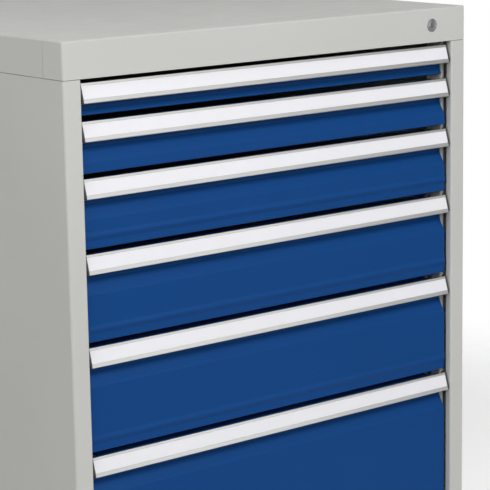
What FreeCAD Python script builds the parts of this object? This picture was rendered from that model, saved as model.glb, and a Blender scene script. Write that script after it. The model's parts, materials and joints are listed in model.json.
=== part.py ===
# Steel drawer cabinet with six graduated drawers on full-extension roller rails.
# Millimetres. +Z is up, +X is to the right, and the drawers face -Y.
# The origin is the middle of the footprint, on the floor.
# A depth is measured from the front plane of the posts towards the back.
import FreeCAD, Part
import math
import os

Vector = FreeCAD.Vector

# ---- overall size ----------------------------------------------------------
cabinet_width = 717.0
cabinet_depth = 725.0
cabinet_height = 850.0
base_height = 50.0
header_height = 50.0
# Drawer heights from the top down, in equal steps that share the height between them.
drawer_steps = [2, 3, 4, 5, 6, 10]

# ---- housing sheet metal ---------------------------------------------------
housing_sheet = 1.5
post_width = 27.5
post_return = 10.0
post_outer_bend = 4.0
post_inner_bend = 2.5
rear_flange = 22.0
seam = 0.7
header_return = 45.0
header_lip = 12.0
top_edge_bend = 2.5
cover_lip = 10.0
back_sheet = 1.2
base_sheet = 2.0
base_flange = 40.0

# ---- uprights that carry the rails -----------------------------------------
upright_sheet = 2.0
upright_inset = 2.7
upright_front_depth = 19.0
upright_web = 40.0
upright_lip = 5.0
upright_weld_flange = 16.0
upright_bend = 3.0
rear_upright_from_back = 93.0

# ---- rails and rollers -----------------------------------------------------
rail_sheet = 2.0
rail_height = 26.0
rail_lift = 4.0
rail_front_depth = 52.0
roller_width = 6.0
roller_clearance = 0.2
roller_side_clearance = 0.4
roller_hub_radius = 4.0
roller_hub_width = 0.2
middle_rail_sheet = 3.2
middle_rail_edge = 1.0
flange_clearance = 1.0
roller_end_distance = 24.0
drawer_travel = 600.0

# ---- drawer tray -----------------------------------------------------------
tray_sheet = 1.2
tray_floor_lift = 3.0
tray_top_drop = 12.0
tray_length = 615.0
tray_hem = 6.0
slot_pitch = 34.0
slot_width = 4.0
slot_height = 12.0
slot_edge = 9.0

# ---- drawer front ----------------------------------------------------------
front_sheet = 1.2
front_side_clearance = 4.3
front_top_drop = 9.5
front_top_flange = 15.0
recess_depth = 21.0
slope_top_drop = 42.0
slope_bottom_drop = 61.0
face_depth = 9.8
swage_top = 22.5
swage_crest = 17.0
swage_bottom = 11.0
swage_projection = 2.6
lip_set_back = 0.5
front_bend = 2.5
swage_bend = 5.0

# ---- handle ----------------------------------------------------------------
handle_top_drop = 6.0
handle_height = 26.0
handle_top_depth = 8.0
handle_bottom_depth = 0.5
handle_wall = 3.4
handle_grip = 7.0
handle_grip_height = 4.0
handle_edge_bend = 0.8
label_top = 3.7
label_bottom = 21.6
label_recess = 1.2
label_sheet = 0.8
label_clearance = 0.2
handle_web_drop = 9.0
handle_web = 2.5
handle_flange = 2.5
handle_flange_top = 6.0
handle_flange_bottom = 19.0
cap_thickness = 2.5
cap_margin = 0.4
cap_corner = 3.5
cap_rear_gap = 4.0

# ---- central lock ----------------------------------------------------------
lock_from_post = 40.0
lock_radius = 9.5
lock_clearance = 0.25
lock_depth = 23.0
key_slot_width = 1.6
key_slot_length = 9.0
key_slot_depth = 4.0
cam_thickness = 3.0
cam_radius = 10.0
cam_pin_radius = 2.0
cam_pin_length = 7.0
lock_bar_travel = 8.0
lock_bar_sheet = 3.0
lock_bar_gap = 0.4
lock_bar_depth = 37.0
lock_bar_width = 11.0
lock_tab_sheet = 3.0
lock_tab_gap = 0.6
lock_slot_clearance = 0.5
lug_drop = 11.0
lug_height = 8.0
lug_sheet = 3.0
lug_clearance = 2.5
hook_drop = 3.5
hook_height = 6.0
hook_sheet = 3.0
hook_overlap = 6.0
hook_gap = 1.5
bar_below_hook = 6.0

# ---- fasteners and feet ----------------------------------------------------
screw_radius = 2.5
screw_clearance = 0.2
screw_head_radius = 5.0
screw_head_height = 1.8
screw_length = 8.0
screw_socket_radius = 1.8
screw_socket_depth = 1.0
screw_end_distance = 40.0
screws_per_side = 4
anchor_radius = 5.5
anchor_access_radius = 12.0
anchor_from_side = 24.0
anchor_from_end = 110.0
leveller_radius = 5.0
leveller_clearance = 0.2
leveller_length = 30.0
leveller_spacing = 34.0
leveller_access_radius = 7.0
leveller_socket_radius = 3.0
leveller_socket_depth = 6.0
weld_nut_radius = 9.0
weld_nut_height = 9.0

# ---- how close two places count as the same --------------------------------
touching = 1e-6

# ---- worked out from the sizes above ---------------------------------------
half_width = cabinet_width / 2
front_plane = -cabinet_depth / 2
header_bottom = cabinet_height - header_height
drawer_step = (header_bottom - base_height) / sum(drawer_steps)
opening_half = half_width - post_width
back_outer_depth = cabinet_depth - screw_head_height
flange_depth = back_outer_depth - back_sheet

upright_inner = opening_half - upright_inset
upright_outer = half_width - housing_sheet
rear_upright_shift = cabinet_depth - rear_upright_from_back - upright_front_depth
rail_rear_depth = upright_front_depth + rear_upright_shift + upright_web

cabinet_rail_web = upright_inner - rail_sheet
outer_roller_face = cabinet_rail_web - roller_side_clearance
middle_rail_outer = outer_roller_face - roller_width
middle_rail_inner = middle_rail_outer - middle_rail_sheet
inner_roller_face = middle_rail_inner - roller_width
drawer_rail_web = inner_roller_face - roller_side_clearance
tray_half = drawer_rail_web - rail_sheet
roller_radius = rail_height / 2 - rail_sheet - roller_clearance

front_half = opening_half - front_side_clearance
front_back_depth = recess_depth + front_sheet
tray_rear_depth = front_back_depth + tray_length
handle_flange_depth = recess_depth - handle_flange

lock_x = opening_half - lock_from_post
lock_z = header_bottom + header_height / 2
lock_bar_outer = upright_inner - lock_bar_gap
lock_bar_inner = lock_bar_outer - lock_bar_sheet
lug_outer = lock_bar_inner - lug_clearance
cam_pin_reach = lock_bar_travel / math.sqrt(2)


# ---- basic shapes ----------------------------------------------------------
def box(x_range, depth_range, z_range):
    corner = Vector(x_range[0], front_plane + depth_range[0], z_range[0])
    size = [high - low for low, high in (x_range, depth_range, z_range)]
    return Part.makeBox(size[0], size[1], size[2], corner)


def wide_box(half, depth_range, z_range):
    return box((-half, half), depth_range, z_range)


def rod(radius, length, x, depth, z, direction):
    return Part.makeCylinder(radius, length, Vector(x, front_plane + depth, z), direction)


def mirrored(shape):
    return shape.mirror(Vector(0, 0, 0), Vector(1, 0, 0))


def both_sides(shape):
    return [shape, mirrored(shape)]


def fused(shapes):
    return shapes[0].multiFuse(shapes[1:]).removeSplitter()


def cut(shape, tools):
    return shape.cut(Part.makeCompound(tools))


def save(name, shapes):
    Part.makeCompound(shapes).exportStep("parts/" + name + ".step")


# ---- flat paths with rounded corners ---------------------------------------
# A path is a list of (u, v) points. A plan path has u = x and v = depth;
# a section path has u = depth and v = z.
def plan(z):
    return lambda point: Vector(point.x, front_plane + point.y, z)


def section(x):
    return lambda point: Vector(x, front_plane + point.x, point.y)


def flat(points):
    return [Vector(u, v, 0) for u, v in points]


def left_of(start, end):
    along = (end - start).normalize()
    return Vector(-along.y, along.x, 0)


def moved_left(points, distance):
    """The open path moved to its own left, with mitred corners."""
    normals = [left_of(a, b) for a, b in zip(points, points[1:])]
    result = [points[0] + normals[0] * distance]
    for corner, before, after in zip(points[1:], normals, normals[1:]):
        result.append(corner + (before + after) * (distance / (1 + before.dot(after))))
    result.append(points[-1] + normals[-1] * distance)
    return result


def bends_moved_left(points, bends, distance):
    """Bend radii of the path that moved_left gives."""
    result = []
    for a, b, c, bend in zip(points, points[1:], points[2:], bends):
        turns_left = left_of(a, b).dot(c - b) > 0
        result.append(max(bend - distance, 0) if turns_left else bend + distance)
    return result


def path_edges(points, bends, place):
    """Straight edges and tangent arcs along an open path."""
    edges = []
    start = points[0]
    for before, corner, after, bend in zip(points, points[1:], points[2:], bends):
        to_before = (before - corner).normalize()
        to_after = (after - corner).normalize()
        half_angle = to_before.getAngle(to_after) / 2
        reach = bend / math.tan(half_angle)
        arc_start = corner + to_before * reach
        arc_end = corner + to_after * reach
        edges.append(Part.makeLine(place(start), place(arc_start)))
        if bend > 0:
            inwards = (to_before + to_after).normalize()
            middle = corner + inwards * (bend / math.sin(half_angle) - bend)
            arc = Part.Arc(place(arc_start), place(middle), place(arc_end))
            edges.append(arc.toShape())
        start = arc_end
    edges.append(Part.makeLine(place(start), place(points[-1])))
    return edges


def closed_face(points, bends, place):
    """Face of a closed outline, with one bend radius for each point."""
    middle = (points[0] + points[-1]) * 0.5
    edges = path_edges([middle] + points + [middle], bends, place)
    return Part.Face(Part.Wire(edges))


def sheet_face(points, bends, thickness, place):
    """Section of a bent sheet whose skin is the path and whose metal lies left of it."""
    inner = moved_left(points, thickness)
    skin_edges = path_edges(points, bends, place)
    inner_edges = path_edges(inner, bends_moved_left(points, bends, thickness), place)
    ends = [Part.makeLine(place(points[0]), place(inner[0])),
            Part.makeLine(place(points[-1]), place(inner[-1]))]
    return Part.Face(Part.Wire(Part.__sortEdges__(skin_edges + ends + inner_edges)))


def rounded_plan(half, depth_range, bends):
    """Plan outline of a box: front right, front left, rear left, rear right."""
    near, far = depth_range
    points = flat([(half, near), (-half, near), (-half, far), (half, far)])
    return points, bends


# ---- housing ---------------------------------------------------------------
def back_screw_places():
    low = base_height + screw_end_distance
    high = header_bottom - screw_end_distance
    step = (high - low) / (screws_per_side - 1)
    x = half_width - rear_flange / 2
    return [(x, low + step * number) for number in range(screws_per_side)]


def screw_holes(depth_range):
    length = depth_range[1] - depth_range[0]
    radius = screw_radius + screw_clearance
    return [rod(radius, length, x, depth_range[0], z, Vector(0, 1, 0))
            for x, z in back_screw_places()]


def side_panel():
    """Right side wall, folded round the front into the post, with a rear flange."""
    skin = flat([(opening_half, post_return),
                 (opening_half, 0),
                 (half_width, 0),
                 (half_width, flange_depth),
                 (half_width - rear_flange, flange_depth)])
    bends = [post_inner_bend, post_outer_bend, post_inner_bend]
    face = sheet_face(skin, bends, housing_sheet, plan(base_height))
    panel = face.extrude(Vector(0, 0, header_bottom - seam - base_height))
    return cut(panel, screw_holes((flange_depth - 2 * housing_sheet, back_outer_depth)))


def back_panel():
    sheet = wide_box(half_width - housing_sheet, (flange_depth, back_outer_depth),
                     (base_height, header_bottom - seam))
    holes = screw_holes((flange_depth - housing_sheet, cabinet_depth))
    return cut(sheet, holes + [mirrored(hole) for hole in holes])


def back_screws():
    screws = []
    start = back_outer_depth - screw_length
    for x, z in back_screw_places():
        shank = rod(screw_radius, screw_length, x, start, z, Vector(0, 1, 0))
        head = rod(screw_head_radius, screw_head_height, x, back_outer_depth, z,
                   Vector(0, 1, 0))
        socket = rod(screw_socket_radius, screw_socket_depth, x,
                     cabinet_depth - screw_socket_depth, z, Vector(0, 1, 0))
        screw = fused([shank, head]).cut(socket)
        screws += both_sides(screw)
    return screws


def top_edges_clear_of(solid, open_depth):
    """Upper outer edges of a cap, apart from the one along its open side."""
    edges = []
    for edge in solid.Edges:
        bounds = edge.BoundBox
        along_open_side = abs(bounds.YMin - front_plane - open_depth) < touching
        along_open_side = along_open_side and bounds.YLength < touching
        if bounds.ZMin > cabinet_height - touching and not along_open_side:
            edges.append(edge)
    return edges


def cap_piece(depth_range, bends, open_depth):
    points, bends = rounded_plan(half_width, depth_range, bends)
    solid = closed_face(points, bends, plan(header_bottom))
    solid = solid.extrude(Vector(0, 0, header_height))
    return solid.makeFillet(top_edge_bend, top_edges_clear_of(solid, open_depth))


def front_header():
    """Fascia over the drawers, with short side returns and a lower lip."""
    shell = cap_piece((0, header_return), [post_outer_bend, post_outer_bend, 0, 0],
                      header_return)
    inner_half = half_width - housing_sheet
    hollow = wide_box(inner_half, (housing_sheet, header_return),
                      (header_bottom + housing_sheet, cabinet_height - housing_sheet))
    below = wide_box(inner_half, (header_lip, header_return),
                     (header_bottom, header_bottom + housing_sheet))
    lock_hole = rod(lock_radius + lock_clearance, 2 * housing_sheet, lock_x,
                    -housing_sheet / 2, lock_z, Vector(0, 1, 0))
    return cut(shell, [hollow, below, lock_hole])


def top_cover():
    """Top sheet with side and rear skirts, closing on the header at a seam."""
    near = header_return + seam
    shell = cap_piece((near, cabinet_depth), [0, 0, post_outer_bend, post_outer_bend],
                      near)
    inner_half = half_width - housing_sheet
    far = cabinet_depth - housing_sheet
    hollow = wide_box(inner_half, (near, far),
                      (header_bottom + housing_sheet, cabinet_height - housing_sheet))
    below = wide_box(inner_half - cover_lip, (near, far - cover_lip),
                     (header_bottom, header_bottom + housing_sheet))
    return cut(shell, [hollow, below])


def corner_places(from_side, from_end):
    """The four corners of the base, as x and depth."""
    return [(side * (half_width - from_side), depth)
            for side in (-1, 1)
            for depth in (from_end, cabinet_depth - from_end)]


def anchor_places():
    return corner_places(anchor_from_side, anchor_from_end)


def leveller_places():
    return corner_places(anchor_from_side, anchor_from_end + leveller_spacing)


def base_frame():
    """Plinth with a floor flange, anchor holes, weld nuts and access holes above them."""
    points, bends = rounded_plan(half_width, (0, cabinet_depth), [post_outer_bend] * 4)
    solid = closed_face(points, bends, plan(0)).extrude(Vector(0, 0, base_height))
    inner_half = half_width - base_sheet
    inner_depths = (base_sheet, cabinet_depth - base_sheet)
    hollow = wide_box(inner_half, inner_depths, (base_sheet, base_height - base_sheet))
    floor_depths = (base_flange, cabinet_depth - base_flange)
    below = wide_box(half_width - base_flange, floor_depths, (0, base_sheet))
    anchors = [rod(anchor_radius, base_sheet, x, depth, 0, Vector(0, 0, 1))
               for x, depth in anchor_places()]
    access = [rod(anchor_access_radius, base_sheet, x, depth, base_height - base_sheet,
                  Vector(0, 0, 1))
              for x, depth in anchor_places()]
    access += [rod(leveller_access_radius, base_sheet, x, depth, base_height - base_sheet,
                   Vector(0, 0, 1))
               for x, depth in leveller_places()]
    solid = cut(solid, [hollow, below] + anchors + access)
    nuts = [rod(weld_nut_radius, weld_nut_height, x, depth, base_sheet, Vector(0, 0, 1))
            for x, depth in leveller_places()]
    threads = [rod(leveller_radius + leveller_clearance, base_sheet + weld_nut_height,
                   x, depth, 0, Vector(0, 0, 1))
               for x, depth in leveller_places()]
    return cut(fused([solid] + nuts), threads)


def levelling_screws():
    screws = []
    for x, depth in leveller_places():
        stud = rod(leveller_radius, leveller_length, x, depth, 0, Vector(0, 0, 1))
        socket = rod(leveller_socket_radius, leveller_socket_depth, x, depth,
                     leveller_length - leveller_socket_depth, Vector(0, 0, 1))
        screws.append(stud.cut(socket))
    return screws


def uprights():
    """Folded uprights inside each side wall: a web for the rails and a weld flange."""
    rear = upright_front_depth + upright_web
    skin = flat([(upright_outer - upright_sheet, rear + upright_weld_flange),
                 (upright_outer - upright_sheet, rear),
                 (upright_inner, rear),
                 (upright_inner, upright_front_depth),
                 (upright_inner + upright_lip, upright_front_depth)])
    bends = [upright_bend - upright_sheet, upright_bend, upright_bend]
    face = sheet_face(skin, bends, upright_sheet, plan(base_height))
    near = face.extrude(Vector(0, 0, header_bottom - base_height))
    far = near.translated(Vector(0, rear_upright_shift, 0))
    return both_sides(near) + both_sides(far)


# ---- drawer zones ----------------------------------------------------------
def zones():
    """Top and bottom height of each drawer's zone, from the top drawer down."""
    top = header_bottom
    result = []
    for steps in drawer_steps:
        bottom = top - steps * drawer_step
        result.append((top, bottom))
        top = bottom
    return result


def rail_heights(zone_bottom):
    return zone_bottom + rail_lift, zone_bottom + rail_lift + rail_height


def channel(web_range, tip, depth_range, z_range):
    """Channel rail: a web between two flanges that reach as far as the tip."""
    far_side = max(web_range) if tip < web_range[0] else min(web_range)
    near_web = min(web_range) if tip < web_range[0] else max(web_range)
    outer = box((min(far_side, tip), max(far_side, tip)), depth_range, z_range)
    inner = box((min(near_web, tip), max(near_web, tip)), depth_range,
                (z_range[0] + rail_sheet, z_range[1] - rail_sheet))
    return outer.cut(inner)


def cabinet_rail(zone_bottom):
    return channel((cabinet_rail_web, upright_inner), middle_rail_outer + flange_clearance,
                   (rail_front_depth, rail_rear_depth), rail_heights(zone_bottom))


def drawer_rail(zone_bottom):
    return channel((tray_half, drawer_rail_web), middle_rail_inner - flange_clearance,
                   (rail_front_depth, tray_rear_depth), rail_heights(zone_bottom))


def middle_rail(zone_bottom):
    low, high = rail_heights(zone_bottom)
    return box((middle_rail_inner, middle_rail_outer), (rail_front_depth, rail_rear_depth),
               (low + middle_rail_edge, high - middle_rail_edge))


def roller(face_x, inwards, depth, z):
    """Roller beside the middle rail, with a small hub towards the channel web."""
    outwards = Vector(-inwards, 0, 0)
    wheel = rod(roller_radius, roller_width, face_x, depth, z, Vector(inwards, 0, 0))
    hub = rod(roller_hub_radius, roller_hub_width, face_x, depth, z, outwards)
    return fused([wheel, hub])


def rollers(zone_bottom):
    """Two rollers in the cabinet rail and two in the drawer rail, on the right side."""
    low, high = rail_heights(zone_bottom)
    z = (low + high) / 2
    half_travel = drawer_travel / 2
    rear = rail_rear_depth - roller_end_distance
    near = rail_front_depth + roller_end_distance
    outer_depths = [rear, rail_front_depth + half_travel + roller_end_distance]
    inner_depths = [near, tray_rear_depth - half_travel - roller_end_distance]
    outer = [roller(outer_roller_face, -1, depth, z) for depth in outer_depths]
    inner = [roller(inner_roller_face, 1, depth, z) for depth in inner_depths]
    return outer + inner


# ---- drawers ---------------------------------------------------------------
def slot_rows(floor, rim):
    """Lower edges of the slot rows: one near the floor, and one near the rim if it fits."""
    lower = floor + slot_edge
    upper = rim - slot_edge - slot_height
    if upper < lower + 2 * slot_height:
        return [lower]
    return [lower, upper]


def tray_slots(floor, rim):
    usable = tray_length - 2 * slot_pitch
    count = int(usable / slot_pitch) + 1
    start = front_back_depth + (tray_length - (count - 1) * slot_pitch) / 2
    depths = [start + number * slot_pitch for number in range(count)]
    return [wide_box(tray_half + tray_sheet, (depth - slot_width / 2, depth + slot_width / 2),
                     (low, low + slot_height))
            for depth in depths
            for low in slot_rows(floor, rim)]


def tray_wall(floor, rim):
    """Right side wall, slotted for dividers and hemmed inwards along its rim."""
    web = box((tray_half - tray_sheet, tray_half), (front_back_depth, tray_rear_depth),
              (floor + tray_sheet, rim))
    hem = box((tray_half - tray_hem, tray_half),
              (front_back_depth + tray_sheet, tray_rear_depth - tray_sheet),
              (rim - tray_sheet, rim))
    return cut(fused([web, hem]), tray_slots(floor, rim))


def tray(zone_top, zone_bottom):
    """Sheets of the welded tray: floor, side walls, end walls and the lock lug."""
    floor = zone_bottom + tray_floor_lift
    rim = zone_top - tray_top_drop
    bottom = wide_box(tray_half, (front_back_depth, tray_rear_depth),
                      (floor, floor + tray_sheet))
    ends = [wide_box(tray_half - tray_sheet, (near, near + tray_sheet),
                     (floor + tray_sheet, rim))
            for near in (front_back_depth, tray_rear_depth - tray_sheet)]
    lug_low = zone_top - lug_drop - lug_height
    lug_near = lock_bar_depth + hook_sheet + hook_gap
    lug = box((tray_half, lug_outer), (lug_near, lug_near + lug_sheet),
              (lug_low, lug_low + lug_height))
    return [bottom] + both_sides(tray_wall(floor, rim)) + ends + [lug]


def front_skin(zone_top, zone_bottom):
    """Section of the front's outer skin from its top edge down, with its bends."""
    slope_top = zone_top - slope_top_drop
    slope_bottom = zone_top - slope_bottom_drop
    points = [(recess_depth, zone_top - front_top_drop), (recess_depth, slope_top)]
    bends = [front_bend]
    if slope_bottom > zone_bottom + 2 * front_bend:
        points.append((face_depth, slope_bottom))
        bends.append(front_bend)
        last_depth = face_depth
        if slope_bottom > zone_bottom + swage_top + 2 * front_bend:
            last_depth = face_depth + lip_set_back
            points += [(face_depth, zone_bottom + swage_top),
                       (face_depth - swage_projection, zone_bottom + swage_crest),
                       (last_depth, zone_bottom + swage_bottom)]
            bends += [swage_bend, swage_bend, front_bend]
    else:
        run = (recess_depth - face_depth) / (slope_top - slope_bottom)
        last_depth = recess_depth - run * (slope_top - zone_bottom)
    points += [(last_depth, zone_bottom), (front_back_depth, zone_bottom)]
    bends.append(front_sheet)
    return flat(points), bends


def drawer_front(zone_top, zone_bottom):
    """Pressed front: a pan open to the back, with its top edge folded back over the tray."""
    skin, bends = front_skin(zone_top, zone_bottom)
    top_rear = Vector(front_back_depth, skin[0].y, 0)
    outline = closed_face([top_rear] + skin, [0, 0] + bends + [0], section(-front_half))
    solid = outline.extrude(Vector(2 * front_half, 0, 0))
    inner = moved_left(skin, front_sheet)[1:]
    inner_bends = bends_moved_left(skin, bends, front_sheet)
    past_back = front_back_depth + front_sheet
    inner[-1] = Vector(past_back, inner[-1].y, 0)
    inner.insert(0, Vector(past_back, inner[0].y, 0))
    hollow = closed_face(inner, [0, 0] + inner_bends[1:] + [0],
                         section(-front_half + front_sheet))
    pan = solid.cut(hollow.extrude(Vector(2 * (front_half - front_sheet), 0, 0)))
    top = skin[0].y
    flange = wide_box(tray_half, (front_back_depth, front_back_depth + front_top_flange),
                      (top - front_sheet, top))
    return fused([pan, flange])


def face_point(handle_top, along, inwards):
    """Point of the handle's section: a distance down its face, and one into it."""
    rise = handle_top_depth - handle_bottom_depth
    length = math.hypot(rise, handle_height)
    down = Vector(-rise / length, -handle_height / length, 0)
    into = Vector(handle_height / length, -rise / length, 0)
    return Vector(handle_top_depth, handle_top, 0) + down * along + into * inwards


def face_length():
    return math.hypot(handle_top_depth - handle_bottom_depth, handle_height)


def handle(zone_top):
    """Extruded pull: an inclined face with a label channel, a web and a flange."""
    top = zone_top - handle_top_drop
    length = face_length()
    outline = [(0, 0, handle_edge_bend),
               (label_top, 0, 0),
               (label_top, label_recess, 0),
               (label_bottom, label_recess, 0),
               (label_bottom, 0, 0),
               (length, 0, handle_edge_bend),
               (length, handle_grip, handle_edge_bend),
               (length - handle_grip_height, handle_grip, handle_edge_bend),
               (length - handle_grip_height, handle_wall, handle_edge_bend),
               (0, handle_wall, handle_edge_bend)]
    points = [face_point(top, along, inwards) for along, inwards, bend in outline]
    bends = [bend for along, inwards, bend in outline]
    blade = closed_face(points, bends, section(-front_half))
    blade = blade.extrude(Vector(2 * front_half, 0, 0))
    web_start = face_point(top, handle_web_drop, handle_wall / 2).x
    web = wide_box(front_half, (web_start, recess_depth),
                   (top - handle_web_drop - handle_web, top - handle_web_drop))
    flange = wide_box(front_half, (handle_flange_depth, recess_depth),
                      (top - handle_flange_bottom, top - handle_flange_top))
    return fused([blade, web, flange])


def label_strip(zone_top):
    top = zone_top - handle_top_drop
    near = label_recess - label_sheet
    outline = [(label_top + label_clearance, near),
               (label_top + label_clearance, label_recess),
               (label_bottom - label_clearance, label_recess),
               (label_bottom - label_clearance, near)]
    points = [face_point(top, along, inwards) for along, inwards in outline]
    strip = closed_face(points, [0] * len(points), section(-front_half))
    return strip.extrude(Vector(2 * front_half, 0, 0))


def end_cap(zone_top):
    """Moulded cap over the right end of the handle."""
    top = zone_top - handle_top_drop
    bottom = face_point(top, face_length() + cap_margin, -cap_margin)
    upper = face_point(top, -cap_margin, -cap_margin)
    rear = upright_front_depth - cap_rear_gap
    points = [upper, bottom, Vector(rear, bottom.y, 0), Vector(rear, upper.y, 0)]
    bends = [handle_edge_bend, cap_corner, cap_corner, handle_edge_bend]
    face = closed_face(points, bends, section(front_half))
    return face.extrude(Vector(cap_thickness, 0, 0))


# ---- central lock ----------------------------------------------------------
def lock_cylinder():
    """Key plug in the header, with a cam and a drive pin behind it."""
    along = Vector(0, 1, 0)
    plug = rod(lock_radius, lock_depth, lock_x, 0, lock_z, along)
    key_slot = box((lock_x - key_slot_width / 2, lock_x + key_slot_width / 2),
                   (0, key_slot_depth),
                   (lock_z - key_slot_length / 2, lock_z + key_slot_length / 2))
    cam = rod(cam_radius, cam_thickness, lock_x, lock_depth, lock_z, along)
    pin = rod(cam_pin_radius, cam_pin_length, lock_x + cam_pin_reach / math.sqrt(2),
              lock_depth + cam_thickness, lock_z + cam_pin_reach / math.sqrt(2), along)
    return fused([plug.cut(key_slot), cam, pin])


def lock_bar():
    """Flat bar down the right uprights, with a hook over each drawer's lug."""
    lowest_zone_top = zones()[-1][0]
    tab_near = lock_depth + cam_thickness + lock_tab_gap
    bar_bottom = lowest_zone_top - hook_drop - hook_height - bar_below_hook
    pin_half = cam_pin_radius + lock_slot_clearance
    slot_z = lock_z + cam_pin_reach / math.sqrt(2)
    bar = box((lock_bar_inner, lock_bar_outer),
              (lock_bar_depth, lock_bar_depth + lock_bar_width),
              (bar_bottom, slot_z + pin_half))
    tab_inner = lock_x - cam_radius
    tab = box((tab_inner, lock_bar_outer), (tab_near, tab_near + lock_tab_sheet),
              (slot_z - 3 * pin_half, slot_z + 3 * pin_half))
    bridge = box((lock_bar_inner, lock_bar_outer), (tab_near, lock_bar_depth),
                 (slot_z - 3 * pin_half, slot_z + pin_half))
    slot = box((lock_x - pin_half, lock_x + cam_pin_reach + 2 * pin_half),
               (tab_near, tab_near + lock_tab_sheet),
               (slot_z - pin_half, slot_z + pin_half))
    pieces = [bar, tab.cut(slot), bridge]
    for zone_top, zone_bottom in zones():
        high = zone_top - hook_drop
        pieces.append(box((lug_outer - hook_overlap, lock_bar_inner),
                          (lock_bar_depth, lock_bar_depth + hook_sheet),
                          (high - hook_height, high)))
    return fused(pieces)


# ---- write every node ------------------------------------------------------
def build():
    os.makedirs("parts", exist_ok=True)
    right_panel = side_panel()
    save("right_side_panel", [right_panel])
    save("left_side_panel", [mirrored(right_panel)])
    save("back_panel", [back_panel()])
    save("back_panel_screws", back_screws())
    save("front_header", [front_header()])
    save("top_cover", [top_cover()])
    save("base_frame", [base_frame()])
    save("levelling_screws", levelling_screws())
    save("rail_uprights", uprights())
    save("lock_cylinder", [lock_cylinder()])
    save("lock_bar", [lock_bar()])
    cabinet_rails = []
    for number, (zone_top, zone_bottom) in enumerate(zones(), start=1):
        name = "drawer_" + str(number) + "_"
        cabinet_rails += both_sides(cabinet_rail(zone_bottom))
        save(name + "middle_rails", both_sides(middle_rail(zone_bottom)))
        right_rollers = rollers(zone_bottom)
        save(name + "rollers", right_rollers + [mirrored(one) for one in right_rollers])
        save(name + "rails", both_sides(drawer_rail(zone_bottom)))
        save(name + "tray", tray(zone_top, zone_bottom))
        save(name + "front", [drawer_front(zone_top, zone_bottom)])
        save(name + "handle", [handle(zone_top)])
        save(name + "label_strip", [label_strip(zone_top)])
        save(name + "end_caps", both_sides(end_cap(zone_top)))
    save("cabinet_rails", cabinet_rails)


build()
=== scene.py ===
import json
import math
import bmesh
import bpy
from mathutils import Matrix, Vector


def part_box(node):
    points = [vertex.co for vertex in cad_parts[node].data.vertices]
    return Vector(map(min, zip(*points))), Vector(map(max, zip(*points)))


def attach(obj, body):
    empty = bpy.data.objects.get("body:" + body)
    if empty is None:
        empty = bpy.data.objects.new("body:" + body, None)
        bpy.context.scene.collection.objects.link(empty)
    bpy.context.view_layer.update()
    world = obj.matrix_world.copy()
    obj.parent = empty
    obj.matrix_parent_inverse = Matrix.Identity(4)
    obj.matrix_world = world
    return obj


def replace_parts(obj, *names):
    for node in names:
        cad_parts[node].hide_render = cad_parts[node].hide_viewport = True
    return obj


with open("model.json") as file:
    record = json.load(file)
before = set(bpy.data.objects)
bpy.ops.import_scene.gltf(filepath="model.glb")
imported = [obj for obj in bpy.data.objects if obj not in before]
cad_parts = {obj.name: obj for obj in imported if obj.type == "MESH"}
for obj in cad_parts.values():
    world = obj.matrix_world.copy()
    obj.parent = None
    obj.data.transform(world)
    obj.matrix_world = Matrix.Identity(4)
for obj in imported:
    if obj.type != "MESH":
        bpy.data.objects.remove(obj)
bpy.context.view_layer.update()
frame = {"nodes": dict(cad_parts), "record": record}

# ---- camera, lamps and studio ------------------------------------------------
IMAGE_SIZE = 490
FOCAL_PIXELS = 2044.0
SENSOR_WIDTH = 36.0
CAMERA_PLACE = Vector((-1.8025, -2.5135, 1.101))
CAMERA_YAW = 38.90      # degrees from +Y towards +X
CAMERA_PITCH = 11.32    # degrees downwards
CAMERA_ROLL = -0.98

ZENITH = (0.08, 0.08, 0.08)
HORIZON_LEFT = (0.48, 0.48, 0.48)
HORIZON_RIGHT = (0.379, 0.379, 0.379)
HORIZON_BACK = (1.0, 1.0, 1.0)
GROUND = (0.2, 0.2, 0.2)
STUDIO_WHITE = (1.0, 1.0, 1.0)
# spans of the ray's direction over which one light passes into the next
LEFT_TO_RIGHT = (-0.4, 0.8)
FRONT_TO_BACK = (0.2, 0.8)
HORIZON_TO_ZENITH = (0.0, 1.0)
GROUND_TO_HORIZON = (-0.05, 0.0)
MIRRORED_BACKDROP = (-0.1, 0.3)
# name, place, aim, width, height, watts
LAMPS = [
    ("broad", (-1.4, -2.6, 1.5), (0.0, -0.3, 0.5), 1.2, 1.2, 16.5),
    ("key", (-0.73, -2.59, 2.4), (-0.1, -0.36, 0.6), 1.62, 0.9, 21.8),
    ("fill", (0.55, -2.59, 2.4), (0.1, -0.36, 0.6), 1.62, 0.9, 22.8),
    ("left", (-1.9, -0.9, 2.0), (-0.36, 0.0, 0.6), 1.0, 1.0, 15.1),
    ("strip", (1.2, -2.2, 0.7), (0.0, -0.36, 0.4), 0.6, 1.6, 6.0),
]


def add_camera():
    yaw, pitch, roll = (math.radians(a) for a in (CAMERA_YAW, CAMERA_PITCH, CAMERA_ROLL))
    ahead = Vector((math.sin(yaw) * math.cos(pitch), math.cos(yaw) * math.cos(pitch),
                    -math.sin(pitch)))
    level = Vector((math.cos(yaw), -math.sin(yaw), 0.0))
    upright = level.cross(ahead)
    right = level * math.cos(roll) + upright * math.sin(roll)
    up = upright * math.cos(roll) - level * math.sin(roll)
    data = bpy.data.cameras.new("camera")
    data.sensor_width = SENSOR_WIDTH
    data.lens = FOCAL_PIXELS / IMAGE_SIZE * data.sensor_width
    camera = bpy.data.objects.new("camera", data)
    bpy.context.scene.collection.objects.link(camera)
    turn = Matrix((right, up, -ahead)).transposed()
    camera.matrix_world = Matrix.Translation(CAMERA_PLACE) @ turn.to_4x4()
    bpy.context.scene.camera = camera


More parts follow.
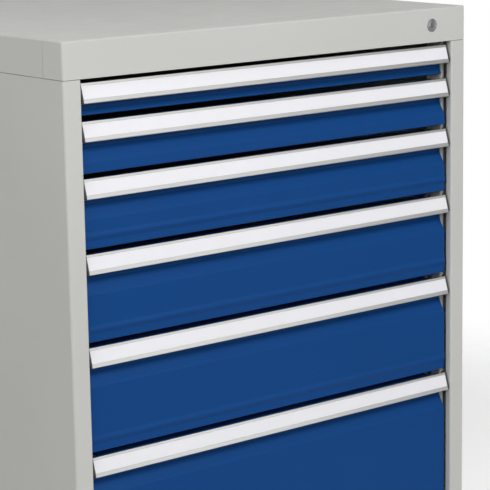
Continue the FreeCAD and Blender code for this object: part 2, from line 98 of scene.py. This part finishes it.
def add_lamps():
    for name, place, aim, width, height, watts in LAMPS:
        data = bpy.data.lights.new(name, "AREA")
        data.shape = "RECTANGLE"
        data.size = width
        data.size_y = height
        data.energy = watts
        lamp = bpy.data.objects.new(name, data)
        bpy.context.scene.collection.objects.link(lamp)
        lamp.location = place
        lamp.rotation_euler = (Vector(aim) - Vector(place)).to_track_quat("-Z", "Y").to_euler()
        lamp.visible_camera = False


def add_world():
    """Studio light by direction; the camera sees white, and gloss sees it behind the object."""
    world = bpy.data.worlds.new("studio")
    bpy.context.scene.world = world
    world.use_nodes = True
    tree = world.node_tree
    tree.nodes.clear()

    def smooth(value, span):
        node = tree.nodes.new("ShaderNodeMapRange")
        node.interpolation_type = "SMOOTHSTEP"
        node.inputs["From Min"].default_value = span[0]
        node.inputs["From Max"].default_value = span[1]
        tree.links.new(value, node.inputs["Value"])
        return node.outputs[0]

    def blended(factor, low, high):
        node = tree.nodes.new("ShaderNodeMix")
        node.data_type = "RGBA"
        tree.links.new(factor, node.inputs["Factor"])
        for name, value in (("A", low), ("B", high)):
            if isinstance(value, tuple):
                node.inputs[name].default_value = (*value, 1.0)
            else:
                tree.links.new(value, node.inputs[name])
        return node.outputs["Result"]

    def combined(operation, first, second):
        node = tree.nodes.new("ShaderNodeMath")
        node.operation = operation
        tree.links.new(first, node.inputs[0])
        tree.links.new(second, node.inputs[1])
        return node.outputs[0]

    rays = tree.nodes.new("ShaderNodeLightPath").outputs
    ray = tree.nodes.new("ShaderNodeSeparateXYZ")
    towards = tree.nodes.new("ShaderNodeTexCoord").outputs["Generated"]
    tree.links.new(towards, ray.inputs[0])
    front = blended(smooth(ray.outputs["X"], LEFT_TO_RIGHT), HORIZON_LEFT, HORIZON_RIGHT)
    horizon = blended(smooth(ray.outputs["Y"], FRONT_TO_BACK), front, HORIZON_BACK)
    above = blended(smooth(ray.outputs["Z"], HORIZON_TO_ZENITH), horizon, ZENITH)
    light = blended(smooth(ray.outputs["Z"], GROUND_TO_HORIZON), GROUND, above)
    backdrop = smooth(ray.outputs["Y"], MIRRORED_BACKDROP)
    mirrored = combined("MAXIMUM", rays["Is Glossy Ray"], rays["Is Transmission Ray"])
    mirrored = combined("MULTIPLY", mirrored, backdrop)
    seen = combined("MAXIMUM", rays["Is Camera Ray"], mirrored)
    background = tree.nodes.new("ShaderNodeBackground")
    tree.links.new(blended(seen, light, STUDIO_WHITE), background.inputs["Color"])
    out = tree.nodes.new("ShaderNodeOutputWorld")
    tree.links.new(background.outputs[0], out.inputs["Surface"])


# ---- node materials ------------------------------------------------------------
NOISE_SPAN = (0.3, 0.7)     # where nearly all the values of a noise lie
ALONG_X = (0.01, 1.0, 1.0)
ALONG_Y = (1.0, 0.01, 1.0)


class Look:
    """A Principled material whose colour, roughness and bump come from nodes."""

    def __init__(self, name, metallic=0.0, specular=0.5):
        self.material = bpy.data.materials.new(name)
        self.material.use_nodes = True
        self.tree = self.material.node_tree
        self.shader = self.tree.nodes["Principled BSDF"]
        self.shader.inputs["Metallic"].default_value = metallic
        self.shader.inputs["Specular IOR Level"].default_value = specular
        self.place = self.tree.nodes.new("ShaderNodeTexCoord").outputs["Object"]
        self.normal = None

    def noise(self, scale, stretch=(1.0, 1.0, 1.0), detail=2.0):
        """Noise in metres of the row frame, pulled out along an axis by a small stretch."""
        spread = self.tree.nodes.new("ShaderNodeMapping")
        spread.inputs["Scale"].default_value = stretch
        self.tree.links.new(self.place, spread.inputs["Vector"])
        noise = self.tree.nodes.new("ShaderNodeTexNoise")
        noise.inputs["Scale"].default_value = scale
        noise.inputs["Detail"].default_value = detail
        self.tree.links.new(spread.outputs[0], noise.inputs["Vector"])
        return noise.outputs["Fac"]

    def ranged(self, value, low, high):
        """The noise's usual span mapped to low to high."""
        node = self.tree.nodes.new("ShaderNodeMapRange")
        node.inputs["From Min"].default_value = NOISE_SPAN[0]
        node.inputs["From Max"].default_value = NOISE_SPAN[1]
        node.inputs["To Min"].default_value = low
        node.inputs["To Max"].default_value = high
        self.tree.links.new(value, node.inputs["Value"])
        return node.outputs[0]

    def colour(self, colour, layers):
        """Base colour times each layer's brightness, given as (noise, low, high)."""
        source = None
        for value, low, high in layers:
            node = self.tree.nodes.new("ShaderNodeMix")
            node.data_type = "RGBA"
            node.blend_type = "MULTIPLY"
            node.inputs["Factor"].default_value = 1.0
            if source is None:
                node.inputs["A"].default_value = (*colour, 1.0)
            else:
                self.tree.links.new(source, node.inputs["A"])
            self.tree.links.new(self.ranged(value, low, high), node.inputs["B"])
            source = node.outputs["Result"]
        self.tree.links.new(source, self.shader.inputs["Base Color"])

    def roughness(self, value, low, high):
        self.tree.links.new(self.ranged(value, low, high), self.shader.inputs["Roughness"])

    def darker_in_bounces(self, share):
        """The camera, gloss and glass see the colour as it is; diffuse bounces see a share."""
        rays = self.tree.nodes.new("ShaderNodeLightPath")
        node = self.tree.nodes.new("ShaderNodeMix")
        node.data_type = "RGBA"
        node.blend_type = "MULTIPLY"
        node.inputs["B"].default_value = (share, share, share, 1.0)
        source = self.shader.inputs["Base Color"].links[0].from_socket
        self.tree.links.new(rays.outputs["Is Diffuse Ray"], node.inputs["Factor"])
        self.tree.links.new(source, node.inputs["A"])
        self.tree.links.new(node.outputs["Result"], self.shader.inputs["Base Color"])

    def paler_to_camera(self, strength):
        """Glow that only the camera and gloss see, so that the surface stays pale."""
        rays = self.tree.nodes.new("ShaderNodeLightPath")
        seen = self.tree.nodes.new("ShaderNodeMath")
        seen.operation = "MAXIMUM"
        self.tree.links.new(rays.outputs["Is Camera Ray"], seen.inputs[0])
        self.tree.links.new(rays.outputs["Is Glossy Ray"], seen.inputs[1])
        glow = self.tree.nodes.new("ShaderNodeMath")
        glow.operation = "MULTIPLY"
        glow.inputs[1].default_value = strength
        self.tree.links.new(seen.outputs[0], glow.inputs[0])
        self.tree.links.new(glow.outputs[0], self.shader.inputs["Emission Strength"])

    def bump(self, value, height):
        node = self.tree.nodes.new("ShaderNodeBump")
        node.inputs["Distance"].default_value = height
        self.tree.links.new(value, node.inputs["Height"])
        if self.normal is not None:
            self.tree.links.new(self.normal, node.inputs["Normal"])
        self.normal = node.outputs["Normal"]
        self.tree.links.new(self.normal, self.shader.inputs["Normal"])


def powder_coat(name, colour, specular, rough, spread=0.05):
    look = Look(name, specular=specular)
    blotch = look.noise(scale=5.0)
    peel = look.noise(scale=520.0)
    grain = look.noise(scale=2600.0)
    look.colour(colour, [(blotch, 0.985, 1.015), (grain, 0.975, 1.025)])
    look.roughness(look.noise(scale=30.0), rough - spread, rough + spread)
    look.bump(peel, height=0.00006)
    return look.material


def drawn_metal(name, colour, rough, line_stretch, line_height, spread=0.05):
    """Metal with fine lines along the axis that is stretched."""
    look = Look(name, metallic=1.0)
    lines = look.noise(scale=900.0, stretch=line_stretch, detail=3.0)
    look.colour(colour, [(look.noise(scale=8.0), 0.97, 1.03), (lines, 0.96, 1.04)])
    look.roughness(lines, rough - spread, rough + spread)
    look.bump(lines, height=line_height)
    return look.material


def zinc(name, colour, rough, spread=0.08):
    look = Look(name, metallic=1.0)
    patches = look.noise(scale=70.0, detail=4.0)
    look.colour(colour, [(patches, 0.85, 1.1), (look.noise(scale=700.0), 0.95, 1.05)])
    look.roughness(patches, rough - spread, rough + spread)
    look.bump(look.noise(scale=400.0), height=0.00003)
    return look.material


def card(name, colour):
    look = Look(name, specular=0.3)
    fibres = look.noise(scale=1400.0, stretch=(0.35, 1.0, 1.0), detail=4.0)
    look.colour(colour, [(look.noise(scale=14.0), 0.99, 1.01), (fibres, 0.985, 1.015)])
    look.roughness(look.noise(scale=60.0), low=0.42, high=0.52)
    look.bump(fibres, height=0.00002)
    return look.material


def moulded(name, colour):
    look = Look(name, specular=0.4)
    grain = look.noise(scale=1500.0)
    look.colour(colour, [(grain, 0.9, 1.1), (look.noise(scale=40.0), 0.95, 1.05)])
    look.roughness(grain, low=0.5, high=0.62)
    look.bump(grain, height=0.00004)
    return look.material


LOOKS = {
    "housing_paint": powder_coat("housing_paint", (0.545, 0.548, 0.520), 0.25, 0.48),
    "upright_paint": powder_coat("upright_paint", (0.47, 0.473, 0.45), 0.25, 0.48),
    "tray_paint": powder_coat("tray_paint", (0.42, 0.425, 0.41), 0.25, 0.5),
    "drawer_paint": powder_coat("drawer_paint", (0.0045, 0.0545, 0.211), 0.08, 0.45),
    "handle_aluminium": drawn_metal("handle_aluminium", (0.53, 0.53, 0.515), 0.37, ALONG_X,
                                    0.00003),
    "label_card": card("label_card", (0.775, 0.775, 0.81)),
    "cap_plastic": moulded("cap_plastic", (0.05, 0.051, 0.052)),
    "rail_steel": zinc("rail_steel", (0.5, 0.51, 0.52), 0.36),
    "roller_steel": drawn_metal("roller_steel", (0.55, 0.55, 0.56), 0.25, ALONG_Y, 0.00002),
    "lock_metal": zinc("lock_metal", (0.6, 0.6, 0.6), 0.22),
    "fastener_steel": zinc("fastener_steel", (0.45, 0.45, 0.46), 0.32),
}


def dress_nodes():
    for part in frame["record"]["subparts"]:
        mesh = frame["nodes"][part["node"]].data
        mesh.materials.clear()
        mesh.materials.append(LOOKS[part["material_slot"]])


# ---- rollers, axle rivets and weld marks -----------------------------------------
DRAWERS = 6
ROUND_STEPS = 40
SHARP_ANGLE = math.radians(30)
SAME_PLACE = 1e-6
MIDDLE_RAIL_SHEET = 0.0032
FACE_SET_BACK = 0.0002      # of a roller's outer face behind the end of its hub
# distance inwards from a face and drop below the tread, from the face to the tread
TREAD_EDGE = [(0.0, 0.0007), (0.0004, 0.0002), (0.0012, 0.0)]
# the same, from the rim's inner edge into the bearing recess
RECESS_EDGE = [(0.0, 0.0022), (0.0005, 0.0026)]
# distance past the face and radius, from the recess up the hub
HUB_STEPS = [(-0.0005, 0.0046), (0.0, 0.0042), (0.0001, 0.004)]
HUB_END_RADIUS = 0.0038
RIVET_RADIUS = 0.0042
RIVET_HEIGHT = 0.0014
# shares of the height and the radius, from the foot to the dimple in the middle
RIVET_DOME = [(0.0, 1.0), (0.3, 0.97), (0.65, 0.84), (0.9, 0.6), (1.0, 0.34), (0.85, 0.2)]
TRAY_SHEET = 0.0012
WELD_RADIUS = 0.0032
WELD_HEIGHT = 0.00022
WELD_RING = [(0.0, 1.0), (1.0, 0.8), (1.0, 0.5), (0.4, 0.35)]
WELD_STEP = 0.102       # three slots of the tray
RAIL_MIDDLE = 0.017     # above the underside of the drawer's zone
TRAY_LIFT = 0.003


def turned(bm, outline, start, direction):
    """Turn (distance, radius) points about an X-wise axis and close both ends."""
    rings = []
    for distance, radius in outline:
        ring = []
        for step in range(ROUND_STEPS):
            angle = 2 * math.pi * step / ROUND_STEPS
            offset = Vector((direction * distance, radius * math.cos(angle),
                             radius * math.sin(angle)))
            ring.append(bm.verts.new(start + offset))
        rings.append(ring)
    for near, far in zip(rings, rings[1:]):
        for step in range(ROUND_STEPS):
            following = (step + 1) % ROUND_STEPS
            bm.faces.new((near[step], near[following], far[following], far[step]))
    bm.faces.new(rings[0])
    bm.faces.new(rings[-1])


def piece(name, bm, body, slot):
    """Object in the row frame, smooth but for its sharp edges, that rides a body."""
    bmesh.ops.recalc_face_normals(bm, faces=bm.faces)
    mesh = bpy.data.meshes.new(name)
    bm.to_mesh(mesh)
    bm.free()
    mesh.shade_smooth()
    mesh.set_sharp_from_angle(angle=SHARP_ANGLE)
    mesh.materials.append(LOOKS[slot])
    obj = bpy.data.objects.new(name, mesh)
    bpy.context.scene.collection.objects.link(obj)
    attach(obj, body)
    return obj


def islands(mesh):
    """Bounds of each loose part of a mesh, in an order that doesn't change from run to run."""
    bm = bmesh.new()
    bm.from_mesh(mesh)
    bmesh.ops.remove_doubles(bm, verts=bm.verts, dist=SAME_PLACE)
    waiting = set(bm.verts)
    found = []
    while waiting:
        stack = [waiting.pop()]
        places = []
        while stack:
            vert = stack.pop()
            places.append(vert.co.copy())
            for edge in vert.link_edges:
                other = edge.other_vert(vert)
                if other in waiting:
                    waiting.discard(other)
                    stack.append(other)
        found.append(tuple(tuple(pick(place[axis] for place in places) for axis in range(3))
                           for pick in (min, max)))
    bm.free()
    return sorted(found)


def scaled(outline, height, radius):
    return [(rise * height, share * radius) for rise, share in outline]


def roller_outline(width, radius):
    """Crowned tread, then the outer face with its bearing recess and its hub."""
    face = width - FACE_SET_BACK
    near_edge = [(inwards, radius - drop) for inwards, drop in TREAD_EDGE]
    far_edge = [(face - inwards, radius - drop) for inwards, drop in reversed(TREAD_EDGE)]
    recess = [(face - inwards, radius - drop) for inwards, drop in RECESS_EDGE]
    hub = [(face + past, hub_radius) for past, hub_radius in HUB_STEPS]
    return near_edge + far_edge + recess + hub + [(width, HUB_END_RADIUS)]


def add_rollers(number):
    """Ball-bearing rollers in place of the plain ones, with the rivets of their axles."""
    node = "drawer_%d_rollers" % number
    body = "drawer_%d_extension" % number
    wheels = bmesh.new()
    rivets = bmesh.new()
    bounds = islands(frame["nodes"][node].data)
    middle = sum(abs(low[0] + high[0]) / 2 for low, high in bounds) / len(bounds)
    for low, high in bounds:
        side = 1 if low[0] > 0 else -1
        outer = abs(low[0] + high[0]) / 2 > middle
        direction = side if outer else -side
        rail_face = min((low[0], high[0]), key=lambda x: x * direction)
        start = Vector((rail_face, (low[1] + high[1]) / 2, (low[2] + high[2]) / 2))
        outline = roller_outline(high[0] - low[0], (high[2] - low[2]) / 2)
        turned(wheels, outline, start, direction)
        back = start - Vector((direction * MIDDLE_RAIL_SHEET, 0.0, 0.0))
        turned(rivets, scaled(RIVET_DOME, RIVET_HEIGHT, RIVET_RADIUS), back, -direction)
    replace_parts(piece(node + "_turned", wheels, body, "roller_steel"), node)
    piece("drawer_%d_axle_rivets" % number, rivets, body, "roller_steel")


def add_weld_marks(number):
    """Spot-weld marks on the inside of the tray, where its rails are welded on."""
    low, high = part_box("drawer_%d_tray" % number)
    wall = -low[0] - TRAY_SHEET
    height = low[2] - TRAY_LIFT + RAIL_MIDDLE
    marks = bmesh.new()
    count = int((high[1] - low[1]) / WELD_STEP)
    first = (low[1] + high[1] - (count - 1) * WELD_STEP) / 2
    for side in (-1, 1):
        for mark in range(count):
            start = Vector((side * wall, first + mark * WELD_STEP, height))
            turned(marks, scaled(WELD_RING, WELD_HEIGHT, WELD_RADIUS), start, -side)
    piece("drawer_%d_weld_marks" % number, marks, "drawer_%d" % number, "tray_paint")


# ---- floor ---------------------------------------------------------------------
FLOOR_HALF = 6.0
FLOOR_FADE = (0.9, 1.7)     # metres from the middle, from solid to nothing
FLOOR_GLOW = 0.35
FLOOR_COLOUR = (0.93, 0.93, 0.93)
FLOOR_BOUNCE = 0.6          # share of the colour that diffuse bounces see


def fade_out(look):
    """Turn a floor transparent with distance, so that the white studio shows behind it."""
    tree = look.tree
    distance = tree.nodes.new("ShaderNodeVectorMath")
    distance.operation = "LENGTH"
    tree.links.new(look.place, distance.inputs[0])
    fade = tree.nodes.new("ShaderNodeMapRange")
    fade.interpolation_type = "SMOOTHSTEP"
    fade.inputs["From Min"].default_value = FLOOR_FADE[0]
    fade.inputs["From Max"].default_value = FLOOR_FADE[1]
    tree.links.new(distance.outputs["Value"], fade.inputs["Value"])
    clear = tree.nodes.new("ShaderNodeBsdfTransparent")
    mixed = tree.nodes.new("ShaderNodeMixShader")
    tree.links.new(fade.outputs[0], mixed.inputs[0])
    tree.links.new(look.shader.outputs[0], mixed.inputs[1])
    tree.links.new(clear.outputs[0], mixed.inputs[2])
    out = next(node for node in tree.nodes if node.type == "OUTPUT_MATERIAL")
    tree.links.new(mixed.outputs[0], out.inputs["Surface"])


def add_floor():
    half = FLOOR_HALF
    mesh = bpy.data.meshes.new("floor")
    corners = [(-half, -half, 0.0), (half, -half, 0.0), (half, half, 0.0), (-half, half, 0.0)]
    mesh.from_pydata(corners, [], [(0, 1, 2, 3)])
    floor = bpy.data.objects.new("floor", mesh)
    bpy.context.scene.collection.objects.link(floor)
    look = Look("floor", specular=0.1)
    look.colour(FLOOR_COLOUR, [(look.noise(scale=3.0), 0.995, 1.005)])
    look.roughness(look.noise(scale=2.0), low=0.6, high=0.7)
    look.darker_in_bounces(FLOOR_BOUNCE)
    look.paler_to_camera(FLOOR_GLOW)
    fade_out(look)
    mesh.materials.append(look.material)


add_camera()
add_lamps()
add_world()
dress_nodes()
for number in range(1, DRAWERS + 1):
    add_rollers(number)
    add_weld_marks(number)
add_floor()

bpy.context.scene.view_settings.view_transform = "Standard"
